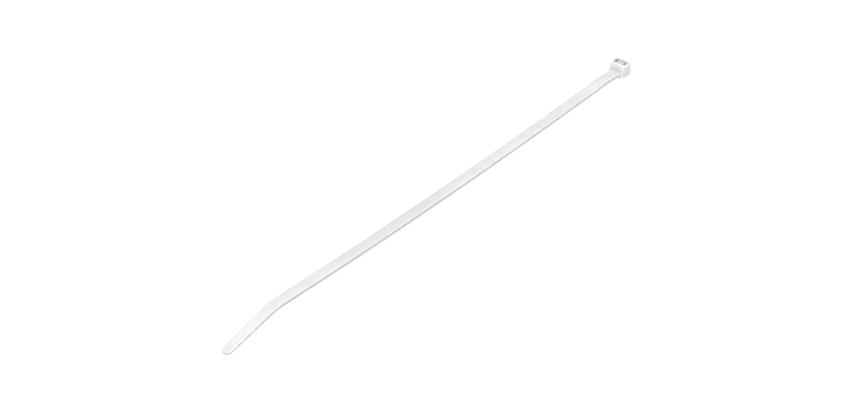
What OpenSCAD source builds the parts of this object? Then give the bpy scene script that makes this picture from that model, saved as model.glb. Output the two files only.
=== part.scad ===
// Cable tie, one moulding of natural nylon, lying as it comes to rest.
// Millimetres, +Z up. The origin is the middle of the head's base. The strap runs
// along +X with its smooth face up and its teeth down, and the tip of its bent tail
// touches the surface that the head stands on.

/* [Strap] */
// Width of the strap
strap_w = 7.6; // [5:0.1:13]
// Thickness of the strap
strap_t = 1.8; // [1.3:0.05:2.6]
// Length of the strap from the head to the bend of the tail
strap_len = 305; // [80:1:900]
// Radius of the strap's long edges
edge_r = 0.4; // [0.1:0.05:0.5]
// Radius of the slight upward bow that the strap keeps as it lies
bow_r = 4100; // [2500:100:20000]
// How much the strap climbs just after it leaves the head
climb = 0.95; // [0:0.05:1.5]
// Length of strap in which it does so
climb_len = 16; // [10:1:40]

/* [Tail] */
// Length of the straight tail beyond its bend, tip included
tail_len = 34; // [20:1:80]
// Angle by which the tail is bent down, towards the toothed side
tail_bend = 15.6; // [8:0.1:25]
// Radius of that bend
bend_r = 40; // [10:1:120]
// Width of the tail where its rounded tip begins
tip_w = 6.4; // [4:0.1:10]
// Thickness of the tail at its tip
tip_t = 1.4; // [1:0.05:2]
// Distance between the grip grooves under the tail
groove_pitch = 2.4; // [1.8:0.1:4]
// Length of one grip groove along the tail
groove_l = 0.9; // [0.4:0.1:1.2]
// Depth of the grip grooves
groove_d = 0.3; // [0.1:0.05:0.4]
// Least plain length of tail at each end of the row of grooves
groove_margin = 5; // [3:0.5:8]

/* [Rack] */
// Distance from one tooth to the next
tooth_pitch = 1.7; // [1.2:0.1:3]
// Depth of the gaps between teeth, measured from the strap's underside
tooth_d = 0.75; // [0.4:0.05:0.9]
// How far the tooth tips stay back from the strap's underside
tip_recess = 0.1; // [0.05:0.05:0.2]
// Length of the flat on a tooth's tip
tip_flat = 0.3; // [0.1:0.05:0.5]
// Length of the flat at the bottom of a gap
root_flat = 0.25; // [0.1:0.05:0.4]
// Width of the smooth rail on each side of the rack
rail_w = 1.1; // [0.6:0.1:1.5]
// Plain length of strap between the head and the rack
neck_len = 11; // [5:0.5:40]

/* [Head] */
// Height of the head
head_h = 8.3; // [7.6:0.1:14]
// Height of the strap's underside above the head's base, where it leaves the head
strap_rise = 1.85; // [1.8:0.05:3]
// Thickness of the wall that the tail is pressed against
back_wall = 1.75; // [1:0.05:3]
// Thickness, at its top, of the wall that the strap grows out of
front_wall = 1.5; // [1:0.1:3]
// How much further forward that wall's face stands at the base than at the top
front_lean = 2.2; // [0.5:0.1:2.5]
// Thickness of the two side walls
side_wall = 1.7; // [1:0.05:3]
// Radius of the head's upright corners
plan_r = 2.1; // [0.6:0.1:2.4]
// Radius of the head's top edges
top_r = 0.8; // [0.4:0.1:1.2]
// Radius of the head's base edges
base_r = 0.5; // [0.2:0.1:0.8]
// Radius of the fillet between the strap's smooth face and the head
neck_top_r = 1; // [0.3:0.1:1.5]
// Radius of the fillet between the strap's toothed face and the head
neck_under_r = 1.2; // [0.3:0.1:1.2]

/* [Slot] */
// Gap left on each side of the strap's width in the slot
slot_side_gap = 0.3; // [0.15:0.05:0.6]
// Gap left over the strap's thickness in the slot
slot_thick_gap = 0.3; // [0.15:0.05:0.6]
// Size of the chamfer that leads the tail into the slot
lead_in = 0.5; // [0.3:0.1:0.8]

/* [Pawl] */
// Thickness of the pawl's tongue, without its teeth
pawl_t = 1.2; // [0.8:0.1:2]
// Room behind the pawl for it to bend away
pawl_room = 1.3; // [1:0.1:3]
// Height of the pawl's lower end above the base
pawl_z = 1.5; // [1:0.1:2]
// How far the pawl's upper end stays below the top of the head
pawl_drop = 0.7; // [0.3:0.1:1.5]
// Thickness of the thin web that the pawl bends on
web_t = 0.8; // [0.4:0.05:1]
// How far the pawl's teeth stand out from its tongue
bite = 0.5; // [0.3:0.05:0.6]
// Gap between the pawl and the rail on each side
pawl_side_gap = 0.25; // [0.1:0.05:0.5]

/* [Hidden] */

nylon = [0.93, 0.92, 0.88];
deg = 180 / PI;
// Steps in each rounded corner of the head, and in each edge of the strap
head_steps = 6;
edge_steps = 3;
// Steps along the climb and the bow, round the bend and round the tip, which stops short
// of its end
climb_steps = 6;
bow_steps = 14;
bend_steps = 8;
tip_steps = 6;
tip_arc = 78;
// How far cuts pass the faces that they open
past = 1;

// Across the head: the slot lets the strap through, and the side walls close it
slot_w = strap_w + 2 * slot_side_gap;
head_w = slot_w + 2 * side_wall;

// Along the head: the strap's passage runs by the back wall. The pawl's teeth stand in
// it as deep as half of a tooth gap would have them, on a strap pressed to that wall.
passage = strap_t + slot_thick_gap;
engaged = slot_thick_gap + tooth_d / 2;
slot_l = passage - engaged + bite + pawl_t + pawl_room;
head_l = back_wall + slot_l + front_wall + front_lean;
back_x = -head_l / 2 + back_wall;
front_x = back_x + slot_l;

// The front wall's face leans back from the base to the top
lean = atan(front_lean / (head_h - base_r - top_r));
function wall_x(z) = head_l / 2 - (z - base_r) * tan(lean);

// The strap's middle line is followed by its length s from the front wall's face. It
// follows the bow, turns down round the bend, and is straight in the tail. All of it
// beyond the first few millimetres is lifted by the climb.
root_z = strap_rise + strap_t / 2;
root = [wall_x(root_z), root_z];
bow_angle = strap_len / bow_r * deg;
tail_start = strap_len + bend_r * tail_bend / deg;
total_len = tail_start + tail_len;
tip_start = total_len - tip_w / 2 * sin(tip_arc);

// Slope of the middle line at s, for a strap that leaves the head at slope a
function slope(s, a) =
    s <= 0 ? a
    : s <= strap_len ? a + s / bow_r * deg
    : s <= tail_start ? a + bow_angle - (s - strap_len) / bend_r * deg
    : a + bow_angle - tail_bend;

// The way from one end to the other of an arc of radius r that turns from slope a to b
function turn(r, a, b) = r * [sin(b) - sin(a), cos(a) - cos(b)];

// The middle line's point at s, measured from the root of the strap
function middle(s, a) =
    s <= 0 ? s * [cos(a), sin(a)]
    : s <= strap_len ? turn(bow_r, a, slope(s, a))
    : s <= tail_start ? middle(strap_len, a) + turn(-bend_r, a + bow_angle, slope(s, a))
    : middle(tail_start, a) + (s - tail_start) * [cos(slope(s, a)), sin(slope(s, a))];

// A point at height h over the middle line
function over(s, h, a) = middle(s, a) + h * [-sin(slope(s, a)), cos(slope(s, a))];

// The slope at the head that brings the tip's lower edge down to the surface
tip_low = over(total_len, -tip_t / 2, 0);
lie = -asin((root_z + climb) / norm(tip_low)) - atan2(tip_low[1], tip_low[0]);

// How far s is between two lengths, from 0 to 1, and how much of the climb is done at s
function share(s, from, to) = max(0, min(1, (s - from) / (to - from)));
function climbed(s) = let (u = share(s, 0, climb_len)) climb * u * u * (3 - 2 * u);

// Where the point at s and h lies in x and z
function place(s, h) = root + over(s, h, lie) + [0, climbed(s)];

// Width and thickness of the strap at s
function tip_round(s) = sqrt(1 - pow(max(0, s - tip_start) / (tip_w / 2), 2));
function width(s) = (strap_w + (tip_w - strap_w) * share(s, strap_len, tip_start)) * tip_round(s);
function thickness(s) = strap_t + (tip_t - strap_t) * share(s, tail_start, tip_start);

// An arc round c from angle a to b, as a list of points
function arc(c, r, a, b, steps) =
    [for (i = [0 : steps]) let (t = a + (b - a) * i / steps) c + r * [cos(t), sin(t)]];

// A rounded rectangle of size x by y round the origin. Its upper and lower corners have
// their own radii, and its right side leans in by back towards the top.
function rounded(x, y, upper, lower, steps, back = 0) =
    let (tilt = atan(back / (y - upper - lower)))
    concat(
        arc([x / 2 - back - upper, y / 2 - upper], upper, tilt, 90, steps),
        arc([-x / 2 + upper, y / 2 - upper], upper, 90, 180, steps),
        arc([-x / 2 + lower, -y / 2 + lower], lower, 180, 270, steps),
        arc([x / 2 - lower, -y / 2 + lower], lower, 270, 360 + tilt, steps)
    );

// The strap's rings stand inside the front wall, along the climb and the bow, round the
// bend, at the start of the tip and round the tip
ring_s = concat(
    [-front_wall / 2],
    [for (i = [0 : climb_steps]) climb_len * i / climb_steps],
    [for (i = [1 : bow_steps]) climb_len + (strap_len - climb_len) * i / bow_steps],
    [for (i = [1 : bend_steps]) strap_len + (tail_start - strap_len) * i / bend_steps],
    [for (i = [0 : tip_steps]) tip_start + tip_w / 2 * sin(tip_arc * i / tip_steps)]
);

// The strap's section at s, set across its middle line
function ring(s) =
    let (r = min(edge_r, width(s) / 2.5, thickness(s) / 2.5))
    [for (p = rounded(width(s), thickness(s), r, r, edge_steps))
        let (q = place(s, p[1])) [q[0], p[0], q[1]]];

module strap_body() {
    n = 4 * (edge_steps + 1);
    last = len(ring_s) - 1;
    sides = [for (i = [0 : last - 1], j = [0 : n - 1])
        let (k = (j + 1) % n, a = i * n, b = (i + 1) * n)
        each [[a + j, b + j, a + k], [a + k, b + j, b + k]]];
    ends = [
        [for (j = [0 : n - 1]) j],
        [for (j = [n - 1 : -1 : 0]) last * n + j]
    ];
    polyhedron(points = [for (s = ring_s) each ring(s)], faces = concat(sides, ends));
}

// A prism of width w across the strap, from an outline in x and z
module across(w, outline) {
    translate([0, w / 2, 0])
        rotate([90, 0, 0])
            linear_extrude(height = w)
                polygon(outline);
}

// The same along the strap, from an outline in y and z
module lengthwise(from, to, outline) {
    translate([from, 0, 0])
        rotate([90, 0, 90])
            linear_extrude(height = to - from)
                polygon(outline);
}

// The space between the teeth. Each tooth's steep face looks towards the head, so the
// pawl slides over the ramps as the tail goes in and catches the steep faces after.
rack_w = strap_w - 2 * rail_w;
rack_start = neck_len + tooth_pitch / 2;
tooth_count = floor((strap_len - rack_start) / tooth_pitch);
rack_end = rack_start + tooth_count * tooth_pitch;

module rack_gaps() {
    under = -strap_t / 2;
    root_h = under + tooth_d;
    tip_h = under + tip_recess;
    teeth = [for (i = [0 : tooth_count - 1])
        let (s = rack_start + i * tooth_pitch)
        each [
            place(s, root_h),
            place(s, tip_h),
            place(s + tip_flat, tip_h),
            place(s + tooth_pitch - root_flat, root_h)
        ]];
    below = [for (i = [bow_steps : -1 : 0])
        place(neck_len + (rack_end - neck_len) * i / bow_steps, under - past)];
    across(rack_w, concat([place(neck_len, root_h)], teeth, [place(rack_end, root_h)], below));
}

// Shallow grooves under the tail, to pull it by
groove_count = floor((tail_len - 2 * groove_margin) / groove_pitch);

module grip_grooves() {
    row_len = (groove_count - 1) * groove_pitch + groove_l;
    row_start = tail_start + (tail_len - row_len) / 2;
    for (i = [0 : groove_count - 1]) {
        s = row_start + i * groove_pitch;
        under = -thickness(s) / 2;
        across(rack_w, [
            place(s, under + groove_d),
            place(s + groove_l, under + groove_d),
            place(s + groove_l, under - past),
            place(s, under - past)
        ]);
    }
}

module strap() {
    difference() {
        strap_body();
        rack_gaps();
        grip_grooves();
    }
}

// The head without its slot: rounded as seen from above, from the side and from the front
module head_block() {
    lift = [0, head_h / 2];
    intersection() {
        linear_extrude(height = head_h)
            polygon(rounded(head_l, head_w, plan_r, plan_r, head_steps));
        across(head_w + 2 * past, [for (p = rounded(head_l, head_h, top_r, base_r, head_steps, front_lean))
            p + lift]);
        lengthwise(-head_l / 2 - past, head_l / 2 + past,
            [for (p = rounded(head_w, head_h, top_r, base_r, head_steps)) p + lift]);
    }
}

// The hollow fillets between the front wall and the strap, above it and below it. They are
// worked out in the strap's own directions, in which the wall leans by a little more.
module neck() {
    tilt = lean - lie;
    for (side = [1, -1]) {
        r = side > 0 ? neck_top_r : neck_under_r;
        h = side * (strap_t / 2 + r);
        c = [r / cos(tilt) - h * tan(tilt), h];
        hollow = arc(c, r, 180 + tilt, 180 + side * 90, head_steps);
        inside = side * (strap_t / 2 - edge_r / 2);
        outline = concat(
            [[-front_wall / 2 - h * tan(tilt), h]],
            hollow,
            [[c[0], inside], [-front_wall / 2, inside]]
        );
        across(strap_w - 2 * edge_r, [for (p = outline) place(p[0], p[1])]);
    }
}

// The slot, open at both ends, with a chamfer all round the end that the tail enters
module slot() {
    reach = lead_in + past;
    mouth_l = [back_x - reach, front_x + reach];
    mouth_w = slot_w / 2 + reach;
    translate([back_x, -slot_w / 2, -past])
        cube([slot_l, slot_w, head_h + 2 * past]);
    intersection() {
        across(2 * mouth_w,
            [[mouth_l[0], -past], [mouth_l[1], -past], [front_x, lead_in], [back_x, lead_in]]);
        lengthwise(mouth_l[0], mouth_l[1],
            [[-mouth_w, -past], [mouth_w, -past], [slot_w / 2, lead_in], [-slot_w / 2, lead_in]]);
    }
}

// The pawl: a toothed tongue that stands up in the slot on a thin web at its lower end.
// Its teeth hook upwards, and there are as many as its height has room for.
pawl_w = rack_w - 2 * pawl_side_gap;
pawl_foot = pawl_z + web_t;
pawl_top = head_h - pawl_drop;
pawl_teeth = floor((pawl_top - pawl_foot) / tooth_pitch);

module pawl() {
    back = front_x - pawl_room;
    face = back - pawl_t;
    first = pawl_top - pawl_teeth * tooth_pitch;
    inside = front_x + front_wall / 2;
    across(pawl_w, concat(
        [[inside, pawl_z], [face + pawl_t / 2, pawl_z], [face, first]],
        [for (i = [1 : pawl_teeth])
            let (z = first + i * tooth_pitch)
            each [[face - bite, z - tip_flat], [face - bite, z], [face, z]]],
        [[back, pawl_top], [back, pawl_foot + web_t], [back + web_t, pawl_foot], [inside, pawl_foot]]
    ));
}

module cable_tie() {
    color(nylon) {
        difference() {
            union() {
                head_block();
                strap();
                neck();
            }
            slot();
        }
        pawl();
    }
}

cable_tie();
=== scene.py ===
"""The looks of the cable tie: one moulding of natural nylon on a pale studio floor.

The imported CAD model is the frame. Its one node is replaced by a finer mesh of the same
tie, inside the same box: the strap is swept ring by ring along its middle line, with every
tooth of the rack and every groove of the tail in it, and the head with its neck, slot and
pawl is meshed from its distance function, so that all its edges are rounded and run into
each other as they do in a moulding. The two are welded into one closed piece.

Shapes are worked out in millimetres and written to Blender in metres.
"""

import math

import bmesh
import bpy
import numpy as np
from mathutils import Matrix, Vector


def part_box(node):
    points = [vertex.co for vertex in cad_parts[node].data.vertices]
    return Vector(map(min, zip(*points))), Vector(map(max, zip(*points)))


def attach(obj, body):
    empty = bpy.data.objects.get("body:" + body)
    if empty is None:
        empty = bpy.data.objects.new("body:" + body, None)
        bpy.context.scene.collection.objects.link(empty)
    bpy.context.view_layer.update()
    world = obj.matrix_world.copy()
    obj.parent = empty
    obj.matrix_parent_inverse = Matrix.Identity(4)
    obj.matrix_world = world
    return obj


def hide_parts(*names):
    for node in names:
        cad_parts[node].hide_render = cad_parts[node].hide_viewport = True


MM = 0.001

# ---------------------------------------------------------------- sizes of part.scad, in mm

STRAP_W = 7.6
STRAP_T = 1.8
STRAP_LEN = 305.0
BOW_R = 4100.0
CLIMB = 0.95
CLIMB_LEN = 16.0
TAIL_LEN = 34.0
TAIL_BEND = math.radians(15.6)
BEND_R = 40.0
TIP_W = 6.4
TIP_T = 1.4

GROOVE_PITCH = 2.4
GROOVE_L = 0.9
GROOVE_D = 0.3
GROOVE_MARGIN = 5.0

TOOTH_PITCH = 1.7
TOOTH_D = 0.75
TIP_RECESS = 0.1
TIP_FLAT = 0.3
ROOT_FLAT = 0.25
RAIL_W = 1.1
NECK_LEN = 11.0

HEAD_H = 8.3
STRAP_RISE = 1.85
BACK_WALL = 1.75
FRONT_WALL = 1.5
FRONT_LEAN = 2.2
SIDE_WALL = 1.7
PLAN_R = 2.1
TOP_R = 0.8
BASE_R = 0.5
NECK_TOP_R = 1.0
NECK_UNDER_R = 1.2

SLOT_SIDE_GAP = 0.3
SLOT_THICK_GAP = 0.3
LEAD_IN = 0.5

PAWL_T = 1.2
PAWL_ROOM = 1.3
PAWL_Z = 1.5
PAWL_DROP = 0.7
WEB_T = 0.8
BITE = 0.5
PAWL_SIDE_GAP = 0.25

# Sizes that follow from them, as in part.scad
SLOT_W = STRAP_W + 2 * SLOT_SIDE_GAP
HEAD_W = SLOT_W + 2 * SIDE_WALL
ENGAGED = SLOT_THICK_GAP + TOOTH_D / 2
SLOT_L = STRAP_T + SLOT_THICK_GAP - ENGAGED + BITE + PAWL_T + PAWL_ROOM
HEAD_L = BACK_WALL + SLOT_L + FRONT_WALL + FRONT_LEAN
BACK_X = -HEAD_L / 2 + BACK_WALL
FRONT_X = BACK_X + SLOT_L
LEAN = math.atan(FRONT_LEAN / (HEAD_H - BASE_R - TOP_R))
RACK_W = STRAP_W - 2 * RAIL_W
RACK_START = NECK_LEN + TOOTH_PITCH / 2
TOOTH_COUNT = math.floor((STRAP_LEN - RACK_START) / TOOTH_PITCH)
TAIL_START = STRAP_LEN + BEND_R * TAIL_BEND
TOTAL_LEN = TAIL_START + TAIL_LEN

# ---------------------------------------------------- finer sizes, seen only in the visual model

# Radius of the strap's long edges, and of the inner edges of its rails, and the least flat
# that is left between the two
EDGE_R = 0.4
RAIL_R = 0.1
RAIL_FLAT = 0.12
# How far the walls of the channel that the teeth stand in lean inwards
WALL_DRAFT = 0.05
# Length of the wall at each end of the rack
RACK_END = 0.1
# Plain sections keep this far off the grooves ahead of them, and off what is behind them
PLAIN_BEFORE = 0.2
PLAIN_AFTER = 0.3
# How far a tooth's steep face leans, and how far its tip's corner is taken off
TOOTH_RAKE = 0.07
TIP_CHAMFER = 0.06
# How far the walls of a grip groove lean
GROOVE_SLOPE = 0.15
# Length of the rounded tip, how far along its oval it is cut square, and its edge's radius
TIP_LEN = 2.3
TIP_REACH = 0.975
TIP_EDGE_R = 0.25
TIP_POWER = 2.5
# Rings of the tip, over nearly a quarter turn, in degrees
TIP_RINGS = 22
TIP_TURN = 89.2
# Rings of the tail's bend
BEND_RINGS = 16
# The bow is smooth here and faceted in the CAD, so the strap's top lies this much lower
SKIN = 0.006
# Radii in the head: corners of the slot, its upper mouth, the pawl's edges and its roots
SLOT_R = 0.35
MOUTH_R = 0.42
PAWL_R = 0.12
WEB_R = 0.25
# Radius of the fillet where the strap's two sides meet the head, and the width over which
# it grows into the wider fillets over and under the strap
NECK_SIDE_R = 0.4
NECK_BLEND = 1.6
# How far the strap reaches into the head, and the radius of its end there
STRAP_INSIDE = 1.2
STRAP_INSIDE_R = 0.1
# The gate's dimple in the back wall: its radius, depth and height, and the radii of its
# bottom and of its rim
GATE_R = 0.9
GATE_D = 0.18
GATE_Z = 4.6
GATE_BOTTOM_R = 0.1
GATE_RIM_R = 0.12
# The small nub that the gate leaves in it: its radius, how far its end stays back from the
# wall's face, how deep it begins, and the radii of its end and of its foot
NUB_R = 0.4
NUB_BACK = 0.05
NUB_ROOT = 0.6
NUB_END_R = 0.06
NUB_FOOT_R = 0.08
# Where the swept strap begins, and where the head's own mesh ends
WELD_S = 9.2
HEAD_END_S = 8.6
# Grid that the head is meshed on, and the share of its triangles that is kept
GRID = 0.12
KEEP = 0.38
# Room between the head and the edge of its grid, and how far the grid runs past the weld
GRID_PAD = 0.3
GRID_PAST = 0.6
# Step over which the distance's gradient is measured, and the rounds that settle the points
GRADIENT_STEP = 0.004
SETTLE_ROUNDS = 4
# Least square of the gradient that a point is moved by
LEAST_SLOPE = 0.2
# The true surface's normals stop this far short of the end of the head's mesh
NORMALS_SHORT = 0.3
# Edges that turn by more than this stay sharp
SHARP = math.radians(38)


# ------------------------------------------------------------------------- the middle line


def wall_x(z):
    """The front wall's face at height z."""
    return HEAD_L / 2 - (z - BASE_R) * math.tan(LEAN)


ROOT_Z = STRAP_RISE + STRAP_T / 2
ROOT = np.array([wall_x(ROOT_Z), ROOT_Z])


def turn(r, a, b):
    """The way from one end to the other of an arc of radius r, from slope a to slope b."""
    return r * np.array([math.sin(b) - math.sin(a), math.cos(a) - math.cos(b)])


def slope(s, lie):
    """Slope of the middle line at s, for a strap that leaves the head at slope lie."""
    bow = min(max(s, 0.0), STRAP_LEN) / BOW_R
    bend = min(max(s - STRAP_LEN, 0.0) / BEND_R, TAIL_BEND)
    return lie + bow - bend


def middle(s, lie):
    """The middle line's point at s, measured from the strap's root."""
    if s <= 0:
        return s * np.array([math.cos(lie), math.sin(lie)])
    if s <= STRAP_LEN:
        return turn(BOW_R, lie, slope(s, lie))
    top = lie + STRAP_LEN / BOW_R
    if s <= TAIL_START:
        return middle(STRAP_LEN, lie) + turn(-BEND_R, top, slope(s, lie))
    end = slope(s, lie)
    run = (s - TAIL_START) * np.array([math.cos(end), math.sin(end)])
    return middle(TAIL_START, lie) + run


def over(s, h, lie):
    """The point at height h over the middle line."""
    a = slope(s, lie)
    return middle(s, lie) + h * np.array([-math.sin(a), math.cos(a)])


def find_lie():
    """The slope at the head that brings the tip's lower edge down to the surface."""
    tip_low = over(TOTAL_LEN, -TIP_T / 2, 0.0)
    drop = ROOT_Z + CLIMB
    return -math.asin(drop / np.hypot(*tip_low)) - math.atan2(tip_low[1], tip_low[0])


LIE = find_lie()


def climbed(s):
    """How much of its climb from the head the strap has done at s."""
    u = np.clip(s / CLIMB_LEN, 0, 1)
    return CLIMB * u * u * (3 - 2 * u)


def place(s, h):
    """Where the point at s and h lies in x and z."""
    return ROOT + over(s, h, LIE) + np.array([0.0, climbed(s)])


# ----------------------------------------------------------------------- the strap's sections


def share(s, start, end):
    """How far s has come from start to end, from 0 to 1."""
    return max(0.0, min(1.0, (s - start) / (end - start)))


def width(s):
    """The strap's width at s."""
    tip_start = TOTAL_LEN - TIP_LEN
    w = STRAP_W + (TIP_W - STRAP_W) * share(s, STRAP_LEN, tip_start)
    u = TIP_REACH * share(s, tip_start, TOTAL_LEN)
    return w * (1 - u**TIP_POWER) ** 0.5


def thickness(s):
    """The strap's thickness at s."""
    t = STRAP_T + (TIP_T - STRAP_T) * share(s, TAIL_START, TOTAL_LEN - TIP_LEN)
    u = share(s, TOTAL_LEN - TIP_EDGE_R, TOTAL_LEN)
    return t - 2 * TIP_EDGE_R * (1 - (1 - u * u) ** 0.5)


def corner(y, h, r, a, b, steps):
    """Points on a corner of radius r round (y, h), from angle a to b in degrees."""
    turns = [math.radians(a + (b - a) * i / steps) for i in range(steps + 1)]
    return [(y + r * math.cos(t), h + r * math.sin(t)) for t in turns]


def section(s, floor_h):
    """One half of the section, from the middle of the top to the middle of the underside.

    floor_h is the height of the channel's floor, in which the teeth and grooves stand.
    """
    w = width(s) / 2
    t = thickness(s) / 2
    r = min(EDGE_R, w / 1.25, t / 1.25)
    wall = min(RACK_W / 2, w - r - RAIL_FLAT)
    wall = max(wall, 0.3 * w)
    depth = max(floor_h + t, 0.0)
    rail = min(RAIL_R, 0.45 * depth)
    bottom = wall - WALL_DRAFT
    top = t - SKIN
    points = [(0.0, top), (0.5 * w, top)]
    points += corner(w - r, top - r, r, 90, 0, 4)
    points += corner(w - r, -t + r, r, 0, -90, 4)
    points += [(wall + RAIL_R, -t), (wall + 0.3 * RAIL_R, -t + 0.3 * rail)]
    points += [(wall, -t + rail), (bottom, -t + depth)]
    points += [(0.5 * bottom, -t + depth), (0.0, -t + depth)]
    return points


def under(s):
    """Height of the strap's underside at s."""
    return -thickness(s) / 2


def plain(start, end, count):
    """Sections without teeth or grooves, from start up to but not at end."""
    steps = [start + (end - start) * i / count for i in range(count)]
    return [(s, under(s)) for s in steps]


def rack(end):
    """Sections of the rack, from the neck to its end."""
    root_h = -STRAP_T / 2 + TOOTH_D
    tip_h = -STRAP_T / 2 + TIP_RECESS
    rows = [(NECK_LEN, root_h)]
    for i in range(TOOTH_COUNT):
        s = RACK_START + i * TOOTH_PITCH
        rows.append((s - TOOTH_RAKE, root_h))
        rows.append((s, tip_h + TIP_CHAMFER))
        rows.append((s + TIP_CHAMFER, tip_h))
        rows.append((s + TIP_FLAT, tip_h))
        rows.append((s + TOOTH_PITCH - ROOT_FLAT, root_h))
    rows.append((end - RACK_END, root_h))
    rows.append((end, under(end)))
    return rows


def grooves(first, count):
    """Sections of the grip grooves under the tail."""
    rows = []
    for i in range(count):
        s = first + i * GROOVE_PITCH
        e = s + GROOVE_L
        rows.append((s, under(s)))
        rows.append((s + GROOVE_SLOPE, under(s) + GROOVE_D))
        rows.append((e - GROOVE_SLOPE, under(e) + GROOVE_D))
        rows.append((e, under(e)))
    return rows


def tip(start):
    """Sections of the rounded tip, closer together towards its end."""
    turns = [math.radians(TIP_TURN * i / (TIP_RINGS - 1)) for i in range(TIP_RINGS)]
    steps = [start + TIP_LEN * math.sin(t) for t in turns]
    return [(s, under(s)) for s in steps]


def stations():
    """Every section of the strap, as its s and the height of the channel's floor."""
    neck_end = NECK_LEN - RACK_END
    rack_end = RACK_START + TOOTH_COUNT * TOOTH_PITCH
    count = math.floor((TAIL_LEN - 2 * GROOVE_MARGIN) / GROOVE_PITCH)
    row_len = (count - 1) * GROOVE_PITCH + GROOVE_L
    first = TAIL_START + (TAIL_LEN - row_len) / 2
    tip_start = TOTAL_LEN - TIP_LEN
    rows = plain(WELD_S, neck_end, 3) + [(neck_end, under(neck_end))]
    rows += rack(rack_end)
    rows += plain(rack_end + PLAIN_AFTER, STRAP_LEN, 2)
    rows += plain(STRAP_LEN, TAIL_START, BEND_RINGS)
    rows += plain(TAIL_START, first - PLAIN_BEFORE, 4)
    rows += grooves(first, count)
    rows += plain(first + row_len + PLAIN_AFTER, tip_start, 3)
    rows += tip(tip_start)
    return rows


def add_strap(bm):
    """Sweeps the strap from WELD_S to its tip. Returns the edges of its open first ring."""
    rings = []
    for s, floor_h in stations():
        half = section(s, floor_h)
        whole = half + [(-y, h) for y, h in half[-2:0:-1]]
        ring = []
        for y, h in whole:
            x, z = place(s, h)
            ring.append(bm.verts.new((x, y, z)))
        rings.append(ring)
    n = len(rings[0])
    for a, b in zip(rings, rings[1:]):
        for j in range(n):
            k = (j + 1) % n
            bm.faces.new((a[j], b[j], b[k], a[k]))
    bm.faces.new(rings[-1])
    return [bm.edges.get((rings[0][j], rings[0][(j + 1) % n])) for j in range(n)]


# ------------------------------------------------------------- the head's distance function


def round_and(a, b, r):
    """Where both solids are, with their common edge rounded by r."""
    u = np.hypot(np.maximum(a + r, 0), np.maximum(b + r, 0))
    return np.minimum(np.maximum(a, b), -r) + u


def round_or(a, b, r):
    """Where either solid is, with the corner between them filled by a fillet of r."""
    u = np.hypot(np.maximum(r - a, 0), np.maximum(r - b, 0))
    return np.maximum(np.minimum(a, b), r) - u


def chamfer_and(a, b, r):
    """Where both solids are, with their common edge chamfered by r."""
    return np.maximum(np.maximum(a, b), (a + b + r) * math.sqrt(0.5))


def outline_distance(x, z, outline):
    """Distance from an outline in x and z, negative inside it."""
    best = np.full(x.shape, np.inf)
    inside = np.zeros(x.shape, bool)
    for (ax, az), (bx, bz) in zip(outline, outline[1:] + outline[:1]):
        ex, ez = bx - ax, bz - az
        t = ((x - ax) * ex + (z - az) * ez) / (ex * ex + ez * ez)
        t = np.clip(t, 0, 1)
        best = np.minimum(best, np.hypot(x - ax - t * ex, z - az - t * ez))
        if ez != 0:
            crosses = (az > z) != (bz > z)
            inside ^= crosses & (x < ax + (z - az) * ex / ez)
    return np.where(inside, -best, best)


def block_distance(x, y, z):
    """The head's block, rounded at its upright corners, at its top and at its base."""
    side = np.abs(y) - HEAD_W / 2
    back = -x - HEAD_L / 2
    front = (x - HEAD_L / 2 + (z - BASE_R) * math.tan(LEAN)) * math.cos(LEAN)
    plan = round_and(round_and(side, back, PLAN_R), front, PLAN_R)
    return round_and(round_and(plan, z - HEAD_H, TOP_R), -z, BASE_R)


def strap_distance(x, y, z):
    """The first stretch of the strap, and how far along and over its middle line a point is."""
    cx = ROOT[0] - BOW_R * math.sin(LIE)
    cz = ROOT[1] + BOW_R * math.cos(LIE)
    z = z - climbed((x - ROOT[0]) / math.cos(LIE))
    h = BOW_R - np.hypot(x - cx, z - cz)
    s = BOW_R * (np.arctan2(x - cx, cz - z) - LIE)
    qy = np.abs(y) - STRAP_W / 2
    qh = np.abs(h) - STRAP_T / 2
    strap = round_and(qy, qh, EDGE_R)
    return round_and(strap, -s - STRAP_INSIDE, STRAP_INSIDE_R), h


def pawl_outline():
    """The pawl's outline: a toothed tongue on a thin web that runs into the front wall."""
    foot = PAWL_Z + WEB_T
    top = HEAD_H - PAWL_DROP
    back = FRONT_X - PAWL_ROOM
    face = back - PAWL_T
    inside = FRONT_X + FRONT_WALL / 2
    teeth = math.floor((top - foot) / TOOTH_PITCH)
    first = top - teeth * TOOTH_PITCH
    outline = [(inside, PAWL_Z), (face + PAWL_T / 2, PAWL_Z), (face, first)]
    for i in range(1, teeth + 1):
        z = first + i * TOOTH_PITCH
        outline += [(face - BITE, z - TIP_FLAT), (face - BITE, z), (face, z)]
    outline += [(back, top), (back, foot + WEB_T), (back + WEB_T, foot), (inside, foot)]
    return outline


PAWL_OUTLINE = pawl_outline()


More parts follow.
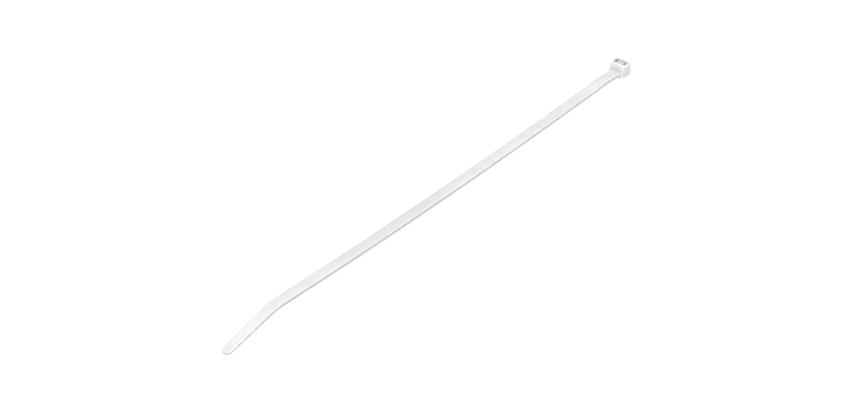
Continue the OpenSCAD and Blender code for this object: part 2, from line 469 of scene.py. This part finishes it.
def head_distance(x, y, z):
    """Distance from the head, its neck and its pawl, negative inside them."""
    block = block_distance(x, y, z)
    strap, h = strap_distance(x, y, z)
    # The fillet is wide over and under the strap, and narrow at its two sides
    flat = np.clip((STRAP_W / 2 - np.abs(y)) / NECK_BLEND, 0, 1)
    flat = flat * flat * (3 - 2 * flat)
    fillet = NECK_SIDE_R + flat * (np.where(h > 0, NECK_TOP_R, NECK_UNDER_R) - NECK_SIDE_R)
    solid = round_or(block, strap, fillet)

    middle_x = (BACK_X + FRONT_X) / 2
    slot = round_and(np.abs(x - middle_x) - SLOT_L / 2, np.abs(y) - SLOT_W / 2, SLOT_R)
    upper = round_and(solid, -slot, MOUTH_R)
    lower = chamfer_and(solid, -slot, LEAD_IN)
    solid = np.where(z > HEAD_H / 2, upper, lower)

    pawl_w = RACK_W - 2 * PAWL_SIDE_GAP
    pawl = round_and(outline_distance(x, z, PAWL_OUTLINE), np.abs(y) - pawl_w / 2, PAWL_R)
    solid = round_or(solid, pawl, WEB_R)

    off = np.hypot(y, z - GATE_Z)
    deep = x + HEAD_L / 2
    dimple = round_and(off - GATE_R, deep - GATE_D, GATE_BOTTOM_R)
    solid = round_and(solid, -dimple, GATE_RIM_R)
    nub = round_and(off - NUB_R, NUB_BACK - deep, NUB_END_R)
    nub = np.maximum(nub, deep - NUB_ROOT)
    return round_or(solid, nub, NUB_FOOT_R)


def towards_surface(points):
    """The distance and its gradient at each point."""
    e = GRADIENT_STEP
    x, y, z = points.T
    d = head_distance(x, y, z)
    gx = head_distance(x + e, y, z) - head_distance(x - e, y, z)
    gy = head_distance(x, y + e, z) - head_distance(x, y - e, z)
    gz = head_distance(x, y, z + e) - head_distance(x, y, z - e)
    return d, np.stack([gx, gy, gz], 1) / (2 * e)


def settle(points, rounds):
    """Moves each point onto the surface, down the distance's gradient."""
    points = points.copy()
    for _ in range(rounds):
        d, g = towards_surface(points)
        size = np.maximum((g * g).sum(1), LEAST_SLOPE)
        step = (d / size)[:, None] * g
        far = np.maximum(np.linalg.norm(step, axis=1) / (GRID / 2), 1)
        points -= step / far[:, None]
    return points


def net(low, high, step):
    """Meshes the head on a grid between two corners.

    It makes one point in each cell that the surface passes through, and one quad across
    each grid line that the surface cuts.
    """
    axes = [np.arange(a, b + step, step) for a, b in zip(low, high)]
    grid = np.meshgrid(*axes, indexing="ij")
    value = head_distance(*grid)
    cells = [len(a) - 1 for a in axes]
    total = np.zeros(cells + [3])
    count = np.zeros(cells)
    cuts = []
    for axis in range(3):
        lo = [slice(None)] * 3
        hi = [slice(None)] * 3
        lo[axis] = slice(0, -1)
        hi[axis] = slice(1, None)
        v0, v1 = value[tuple(lo)], value[tuple(hi)]
        cut = (v0 < 0) != (v1 < 0)
        share_of_line = np.where(cut, v0 / np.where(cut, v0 - v1, 1), 0)
        at = np.stack([g[tuple(lo)] for g in grid], -1)
        at[..., axis] += share_of_line * step
        at *= cut[..., None]
        others = [a for a in range(3) if a != axis]
        for i in (0, 1):
            for j in (0, 1):
                part = [slice(None)] * 3
                part[others[0]] = slice(i, i + cells[others[0]])
                part[others[1]] = slice(j, j + cells[others[1]])
                total += at[tuple(part)]
                count += cut[tuple(part)]
        cuts.append((cut, v0 < 0, others))
    used = count > 0
    number = np.full(cells, -1)
    number[used] = np.arange(used.sum())
    points = total[used] / count[used][:, None]

    quads = []
    for axis, (cut, first_inside, others) in enumerate(cuts):
        index = np.argwhere(cut)
        keep = np.ones(len(index), bool)
        for o in others:
            keep &= (index[:, o] > 0) & (index[:, o] < cells[o])
        index = index[keep]
        corners = []
        for i, j in ((0, 0), (1, 0), (1, 1), (0, 1)):
            cell = index.copy()
            cell[:, others[0]] -= i
            cell[:, others[1]] -= j
            corners.append(number[tuple(cell.T)])
        quad = np.stack(corners, 1)
        outward = first_inside[tuple(index.T)]
        if axis == 1:
            outward = ~outward
        quad[~outward] = quad[~outward][:, ::-1]
        quads.append(quad)
    return points, np.concatenate(quads)


def head_mesh():
    """The head and its neck as a mesh in mm, thinned where it is flat, still open at the neck."""
    pad = GRID_PAD + GRID
    end = place(WELD_S + GRID_PAST, 0)[0]
    low = (-HEAD_L / 2 - pad, -HEAD_W / 2 - pad, -pad)
    high = (end, HEAD_W / 2 + pad, HEAD_H + pad)
    points, quads = net(low, high, GRID)
    points = settle(points, SETTLE_ROUNDS)
    mesh = bpy.data.meshes.new("head_net")
    mesh.from_pydata(points.tolist(), [], quads.tolist())
    holder = bpy.data.objects.new("head_net", mesh)
    bpy.context.collection.objects.link(holder)
    thin = holder.modifiers.new("thin", "DECIMATE")
    thin.ratio = KEEP
    depsgraph = bpy.context.evaluated_depsgraph_get()
    thinned = bpy.data.meshes.new_from_object(holder.evaluated_get(depsgraph))
    bpy.data.objects.remove(holder)
    bpy.data.meshes.remove(mesh)
    return thinned


def weld(bm, head, strap_ring):
    """Cuts the head's mesh square across the neck and joins it to the strap's first ring."""
    before = set(bm.verts)
    bm.from_mesh(head)
    new = [v for v in bm.verts if v not in before]
    faces = {f for v in new for f in v.link_faces}
    edges = {e for v in new for e in v.link_edges}
    a = slope(HEAD_END_S, LIE)
    x, z = place(HEAD_END_S, 0)
    bmesh.ops.bisect_plane(
        bm,
        geom=[*new, *edges, *faces],
        dist=1e-4,
        plane_co=(x, 0, z),
        plane_no=(math.cos(a), 0, math.sin(a)),
        clear_outer=True,
    )
    ring = set(strap_ring)
    loose = [e for e in bm.edges if e.is_boundary and e not in ring]
    bmesh.ops.bridge_loops(bm, edges=loose + strap_ring)


def tie_mesh():
    """The whole tie as one closed mesh, in metres, smooth but for its real corners."""
    bm = bmesh.new()
    strap_ring = add_strap(bm)
    head = head_mesh()
    weld(bm, head, strap_ring)
    bpy.data.meshes.remove(head)
    bmesh.ops.recalc_face_normals(bm, faces=bm.faces)
    if bm.calc_volume(signed=True) < 0:
        bmesh.ops.reverse_faces(bm, faces=bm.faces)
    for f in bm.faces:
        f.smooth = True
    mesh = bpy.data.meshes.new("tie_visual")
    bm.to_mesh(mesh)
    bm.free()
    mesh.set_sharp_from_angle(angle=SHARP)
    count = len(mesh.vertices)
    points = np.zeros(count * 3)
    mesh.vertices.foreach_get("co", points)
    points = points.reshape(-1, 3)
    set_head_normals(mesh, points)
    points *= MM
    mesh.vertices.foreach_set("co", points.ravel())
    mesh.update()
    return mesh


def set_head_normals(mesh, points):
    """Gives the head's points the normals of its true surface, whatever its triangles are."""
    s_end = place(HEAD_END_S - NORMALS_SHORT, 0)[0]
    head = points[:, 0] < s_end
    normals = np.zeros_like(points)
    _, g = towards_surface(points[head])
    normals[head] = g / np.maximum(np.linalg.norm(g, axis=1), 1e-9)[:, None]
    mesh.normals_split_custom_set_from_vertices(normals.tolist())


# ------------------------------------------------------------------------------- materials


# The head's colour and the strap's, each where the nylon is clearest and where it is whitest
HEAD_TONES = (0.70, 0.70, 0.682, 1), (0.76, 0.76, 0.742, 1)
STRAP_TONES = (0.643, 0.643, 0.642, 1), (0.713, 0.713, 0.711, 1)
# Share of the cloudy pattern at which those two are reached
CLEAREST = 0.34
WHITEST = 0.66
# X at which the head's colour ends and the strap's begins, in metres
HEAD_TONE_END = 0.0025
STRAP_TONE_START = 0.0085
# Half-way along, the strap is a little darker: the middle of that stretch, its half lengths
# where this begins and where it is full, and how full
MIDDLE_X = 0.215
MIDDLE_OUTER = 0.085
MIDDLE_INNER = 0.02
MIDDLE_TONE = (0.57, 0.57, 0.568, 1)
MIDDLE_SHARE = 0.4
# The colour of the painted shade on upright faces, and how much of it the head's two sides have
PAINTED_SHADE_TONE = (0.36, 0.36, 0.36, 1)
HEAD_SIDE_SHADE_SHARE = 0.48
# How far a face is turned to the side, and how little upwards, as the painted shade begins and is
# full
SIDE_SHADE_FACING = (0.3, 0.9)
EDGE_SHADE_FACING = (0.93, 0.45)
# How fine the patterns are: the streaks along and across, the clouds, the patches of gloss,
# the satin, and the paper's grain
FLOW_SCALE = (18.0, 260.0, 260.0)
CLOUD_SCALE = 55.0
GLOSS_SCALE = 120.0
SATIN_SCALE = 2600.0
PAPER_SCALE = 900.0
# Roughness where the nylon is glossiest and where it is dullest
ROUGHNESS = (0.30, 0.42)
# How far light wanders in the nylon, in metres
LIGHT_REACH = (0.0034, 0.0034, 0.0033)


class Nodes:
    """A short way to write a shader's nodes, on the tree of a material or of the world."""

    def __init__(self, owner, shader):
        owner.use_nodes = True
        self.owner = owner
        self.tree = owner.node_tree
        self.shader = self.tree.nodes[shader]

    def add(self, kind, inputs=None, **settings):
        """A new node. Each of its inputs is a constant or another node's output."""
        node = self.tree.nodes.new(kind)
        for key, value in settings.items():
            setattr(node, key, value)
        for key, value in (inputs or {}).items():
            if hasattr(value, "is_output"):
                self.tree.links.new(value, node.inputs[key])
            else:
                node.inputs[key].default_value = value
        return node

    def math(self, operation, a, b=0.0):
        """The result of one operation on two values."""
        return self.add("ShaderNodeMath", {0: a, 1: b}, operation=operation).outputs[0]

    def span(self, value, start, end, low=0.0, high=1.0):
        """Goes smoothly from low to high while the value goes from start to end."""
        return self.stretch(value, start, end, low, high, "SMOOTHSTEP")

    def stretch(self, value, start, end, low, high, way="LINEAR"):
        """Goes from low to high while the value goes from start to end, and no further."""
        inputs = {"Value": value, "From Min": start, "From Max": end, "To Min": low, "To Max": high}
        node = self.add("ShaderNodeMapRange", inputs, interpolation_type=way)
        return node.outputs["Result"]

    def ramp(self, value, first, last):
        """A colour that runs from the first to the last as the pattern goes to its whitest."""
        node = self.add("ShaderNodeValToRGB", {"Fac": value})
        stops = ((CLEAREST, first), (WHITEST, last))
        for element, (position, colour) in zip(node.color_ramp.elements, stops):
            element.position = position
            element.color = colour
        return node.outputs["Color"]

    def noise(self, where, scale, detail):
        """A soft random pattern."""
        inputs = {"Vector": where, "Scale": scale, "Detail": detail}
        return self.add("ShaderNodeTexNoise", inputs).outputs["Fac"]

    def bump(self, height, strength, distance, **more):
        """A bumped normal."""
        inputs = {"Height": height, "Strength": strength, "Distance": distance, **more}
        return self.add("ShaderNodeBump", inputs).outputs["Normal"]

    def split(self, vector):
        """A vector's X, Y and Z."""
        return self.add("ShaderNodeSeparateXYZ", {"Vector": vector}).outputs

    def blend(self, share_of_b, a, b):
        """A mix of two colours. Its sockets go by number, since each name is there four times."""
        node = self.add("ShaderNodeMix", {0: share_of_b, 6: a, 7: b}, data_type="RGBA")
        return node.outputs[2]

    def link(self, output, socket):
        """Feeds an output into one of the shader's sockets."""
        self.tree.links.new(output, self.shader.inputs[socket])

    def set(self, **values):
        """Sets constants on the shader's sockets, whose names have _ for a space here."""
        for key, value in values.items():
            self.shader.inputs[key.replace("_", " ")].default_value = value


def nylon():
    """Natural nylon 66: milky, a little warm where it is thick, with faint flow marks, and painted
    shade on its upright faces.
    """
    n = Nodes(bpy.data.materials.new("nylon_natural"), "Principled BSDF")
    where = n.add("ShaderNodeTexCoord").outputs["Object"]

    # Long soft streaks where the melt ran along the strap
    along = n.add("ShaderNodeMapping", {"Vector": where, "Scale": FLOW_SCALE})
    flow = n.noise(along.outputs[0], 1.0, 3.0)
    # Cloudy patches of more or less crystalline nylon
    clouds = n.noise(where, CLOUD_SCALE, 2.0)
    both = n.add("ShaderNodeMix", {"Factor": 0.5, "A": clouds, "B": flow}, data_type="FLOAT")
    pattern = both.outputs["Result"]

    # The head is thicker, so it is whiter and a little warmer than the strap
    strap = n.ramp(pattern, *STRAP_TONES)
    head = n.ramp(pattern, *HEAD_TONES)
    x = n.split(where)["X"]
    beyond = n.span(x, HEAD_TONE_END, STRAP_TONE_START)
    tone = n.blend(beyond, head, strap)

    off = n.math("ABSOLUTE", n.math("SUBTRACT", x, MIDDLE_X))
    middle_share = n.span(off, MIDDLE_OUTER, MIDDLE_INNER)
    tone = n.blend(n.math("MULTIPLY", middle_share, MIDDLE_SHARE), tone, MIDDLE_TONE)

    # The strap's upright edges are darkened with painted shade, so they throw back less light
    # than its top faces. The head's two sides have a little of this painted shade too.
    facing = n.split(n.add("ShaderNodeNewGeometry").outputs["Normal"])
    head_side_shade = n.span(n.math("ABSOLUTE", facing["Y"]), *SIDE_SHADE_FACING, 0.0, HEAD_SIDE_SHADE_SHARE)
    edges = n.span(n.math("ABSOLUTE", facing["Z"]), *EDGE_SHADE_FACING)
    painted_shade = n.math("MAXIMUM", head_side_shade, n.math("MULTIPLY", edges, beyond))
    n.link(n.blend(painted_shade, tone, PAINTED_SHADE_TONE), "Base Color")

    # The mould's fine satin, glossier in patches
    gloss = n.noise(where, GLOSS_SCALE, 2.0)
    n.link(n.stretch(gloss, 0.3, 0.7, *ROUGHNESS), "Roughness")
    fine = n.bump(n.noise(where, SATIN_SCALE, 2.0), 0.2, 0.00002)
    wavy = n.bump(flow, 0.3, 0.0001, Normal=fine)
    n.link(wavy, "Normal")

    n.set(Subsurface_Weight=1.0, Subsurface_Scale=1.0, Subsurface_Radius=LIGHT_REACH, IOR=1.53)
    return n.owner


def floor_paper():
    """Plain matt white studio paper, on a light table."""
    n = Nodes(bpy.data.materials.new("studio_paper"), "Principled BSDF")
    where = n.add("ShaderNodeTexCoord").outputs["Object"]
    n.link(n.bump(n.noise(where, PAPER_SCALE, 3.0), 0.05, 0.0001), "Normal")
    n.set(Base_Color=(0.5, 0.5, 0.5, 1), Roughness=0.9)
    n.set(Emission_Color=(1, 1, 1, 1), Emission_Strength=0.62)
    return n.owner


# ------------------------------------------------------------------------------- the studio


# The floor's middle in X, and half of its side
FLOOR_X = 0.17
FLOOR_HALF = 6.0
# The floor stays this far below the tie, so that the two never share a plane
FLOOR_DROP = 0.00002
# Height, side and power of the softbox over the tie's middle
ABOVE_HEIGHT = 1.6
ABOVE_SIDE = 2.6
ABOVE_POWER = 15.0
# Place, side and power of the fill light beyond the tail, and the middle of the head, which
# it is aimed at
FILL_PLACE = (1.6, 0.25, 0.6)
FILL_SIDE = 0.9
FILL_POWER = 3.6
HEAD_MIDDLE = (0.0, 0.0, 0.004)
# How bright the light tent is at its far side, where it is open, and at its near side
AIR_FAR = 0.15
AIR_NEAR = 1.1


def add_floor():
    """The plain floor that the tie lies on."""
    a = FLOOR_HALF
    mesh = bpy.data.meshes.new("studio_floor")
    corners = [(-a, -a, 0), (a, -a, 0), (a, a, 0), (-a, a, 0)]
    mesh.from_pydata(corners, [], [(0, 1, 2, 3)])
    floor = bpy.data.objects.new("studio_floor", mesh)
    floor.location = (FLOOR_X, 0.0, -FLOOR_DROP)
    mesh.materials.append(floor_paper())
    bpy.context.collection.objects.link(floor)


def aim(obj, target):
    """Turns a light or a camera towards a point."""
    direction = Vector(target) - obj.location
    obj.rotation_euler = direction.to_track_quat("-Z", "Y").to_euler()


def add_light(name, location, target, side, power):
    """A square softbox with the given side in metres and power in watts."""
    data = bpy.data.lights.new(name, "AREA")
    data.size = side
    data.energy = power
    light = bpy.data.objects.new(name, data)
    light.location = location
    bpy.context.collection.objects.link(light)
    aim(light, target)


def add_air():
    """A white light tent all round, open on the tie's far side, where it is dimmer."""
    world = bpy.data.worlds.new("studio_air")
    n = Nodes(world, "Background")
    n.set(Color=(1.0, 1.0, 1.0, 1))
    y = n.split(n.add("ShaderNodeTexCoord").outputs["Generated"])["Y"]
    n.link(n.stretch(y, -1.0, 0.3, AIR_FAR, AIR_NEAR), "Strength")
    bpy.context.scene.world = world


def add_studio(centre):
    """The floor and the light round the tie, whose middle is given."""
    add_floor()
    above = (centre[0], 0.0, ABOVE_HEIGHT)
    add_light("softbox_above", above, centre, ABOVE_SIDE, ABOVE_POWER)
    add_light("fill_ahead", FILL_PLACE, HEAD_MIDDLE, FILL_SIDE, FILL_POWER)
    add_air()
    bpy.context.scene.view_settings.view_transform = "Standard"


# The camera stands on the tie's near side, beyond its tail, and looks down
CAMERA_AZIMUTH = math.radians(129.73)
CAMERA_ELEVATION = math.radians(36.07)
CAMERA_TARGET = Vector((0.18775, 0.00186, 0.00574))
CAMERA_DISTANCE = 1.4138
CAMERA_LENS = 104.97


def add_camera():
    """The camera, where the photographer's was."""
    a, e = CAMERA_AZIMUTH, CAMERA_ELEVATION
    look = Vector((-math.sin(a) * math.cos(e), math.cos(a) * math.cos(e), -math.sin(e)))
    data = bpy.data.cameras.new("camera")
    data.sensor_width = 36.0
    data.lens = CAMERA_LENS
    data.clip_start = 0.01
    camera = bpy.data.objects.new("camera", data)
    camera.location = CAMERA_TARGET - look * CAMERA_DISTANCE
    bpy.context.collection.objects.link(camera)
    aim(camera, CAMERA_TARGET)
    bpy.context.scene.camera = camera


# ------------------------------------------------------------------------------ the scene


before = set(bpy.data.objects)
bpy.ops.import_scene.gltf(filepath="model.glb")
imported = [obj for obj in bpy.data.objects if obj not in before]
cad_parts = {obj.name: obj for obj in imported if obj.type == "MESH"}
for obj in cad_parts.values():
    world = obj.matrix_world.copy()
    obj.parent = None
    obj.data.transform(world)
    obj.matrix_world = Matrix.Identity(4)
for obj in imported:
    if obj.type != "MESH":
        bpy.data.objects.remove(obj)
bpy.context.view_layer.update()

tie = bpy.data.objects.new("tie_visual", tie_mesh())
bpy.context.collection.objects.link(tie)
tie.data.materials.append(nylon())
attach(tie, "root")
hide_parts("cable_tie")

low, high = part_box("cable_tie")
add_studio(Vector(((low[0] + high[0]) / 2, 0.0, 0.0)))
add_camera()
